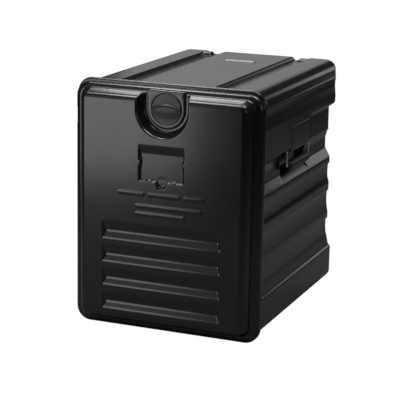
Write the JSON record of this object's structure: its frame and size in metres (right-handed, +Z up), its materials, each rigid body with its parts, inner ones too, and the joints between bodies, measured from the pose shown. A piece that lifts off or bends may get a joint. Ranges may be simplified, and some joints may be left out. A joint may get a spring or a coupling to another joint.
{
  "type": "insulated food carrier",
  "caption": "Front-loading insulated box with a side-hinged door, turn latch, runner rails inside, drop handles on both sides and stacking channels on top.",
  "frame": {"origin": "centre of the bounding box in X and Y, at floor level under the skids", "axes": "+X to the right as seen from in front of the door, +Y from the door to the back, +Z up"},
  "size_m": [0.456, 0.6396, 0.5864],
  "materials": {
    "shell": "satin",
    "liner": "satin",
    "trim": "satin",
    "foam": "matte",
    "rubber": "matte",
    "steel": "satin"
  },
  "bodies": {
    "body": {"bracket_screw_lower_1": "steel", "bracket_screw_lower_2": "steel", "bracket_screw_upper_1": "steel", "bracket_screw_upper_2": "steel", "door_gasket": "rubber", "foam_core": "foam", "handle_mount_left": "shell", "handle_mount_right": "shell", "hinge_bracket_lower": "steel", "hinge_bracket_upper": "steel", "hinge_pin_lower": "steel", "hinge_pin_upper": "steel", "inner_liner": "liner", "keeper_screw_left": "steel", "keeper_screw_right": "steel", "latch_keeper": "steel", "mount_screw_left_1": "steel", "mount_screw_left_2": "steel", "mount_screw_right_1": "steel", "mount_screw_right_2": "steel", "outer_shell": "shell", "skid_left": "trim", "skid_right": "trim"},
    "door": {"door_foam": "foam", "door_inner_shell": "liner", "door_outer_shell": "shell", "hinge_lug_lower": "steel", "hinge_lug_upper": "steel", "latch_bush": "trim", "latch_plate": "shell", "lug_screw_lower_1": "steel", "lug_screw_lower_2": "steel", "lug_screw_upper_1": "steel", "lug_screw_upper_2": "steel"},
    "latch": {"latch_knob": "shell", "latch_shaft": "steel", "latch_tbar": "steel", "shaft_nut": "steel"},
    "handle_left": {"handle_bail_left": "steel", "handle_grip_left": "trim"},
    "handle_right": {"handle_bail_right": "steel", "handle_grip_right": "trim"}
  },
  "joints": [
    {"name": "door_hinge", "type": "hinge", "parent": "body", "child": "door", "pos_m": [-0.2225, -0.26125, 0.283], "axis": [0, 0, -1], "range_deg": [0, 170]},
    {"name": "latch_turn", "type": "hinge", "parent": "door", "child": "latch", "pos_m": [0, -0.28825, 0.5327], "axis": [0, 1, 0], "range_deg": [0, 90]},
    {"name": "handle_right_swing", "type": "hinge", "parent": "body", "child": "handle_right", "pos_m": [0.205, 0.02375, 0.413], "axis": [0, -1, 0], "range_deg": [0, 95]},
    {"name": "handle_left_swing", "type": "hinge", "parent": "body", "child": "handle_left", "pos_m": [-0.205, 0.02375, 0.413], "axis": [0, 1, 0], "range_deg": [0, 95]}
  ]
}
